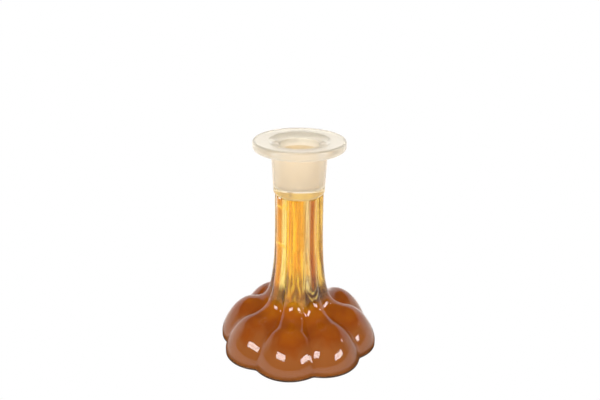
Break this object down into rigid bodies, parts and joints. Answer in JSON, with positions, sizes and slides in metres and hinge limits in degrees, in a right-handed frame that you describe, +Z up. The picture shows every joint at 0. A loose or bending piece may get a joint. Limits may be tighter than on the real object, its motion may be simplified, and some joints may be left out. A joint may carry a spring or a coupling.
{
  "type": "candlestick",
  "caption": "Glass candlestick: a flanged cup with a candle socket on a ribbed, hollow stem that spreads into a petal foot, lacquered inside from amber to caramel.",
  "frame": {"origin": "on the table, below the centre of the foot", "axes": "+Z up along the stem's axis; +X and -Y each point at the crest of a petal"},
  "size_m": [0.1, 0.1, 0.133],
  "materials": {
    "cup_glass": "polished clear glass with a faint cream cast",
    "stem_glass": "fire-polished clear glass",
    "cream_lacquer": "milky cream lacquer, slightly translucent",
    "amber_lacquer": "clear amber lacquer with streaks",
    "caramel_lacquer": "opaque caramel lacquer"
  },
  "bodies": {
    "root": {"candle_cup": "cup_glass", "socket_lining": "cream_lacquer", "joint_wafer": "cup_glass", "stem_and_foot": "stem_glass", "stem_lining": "amber_lacquer", "foot_lining": "caramel_lacquer"}
  },
  "joints": []
}
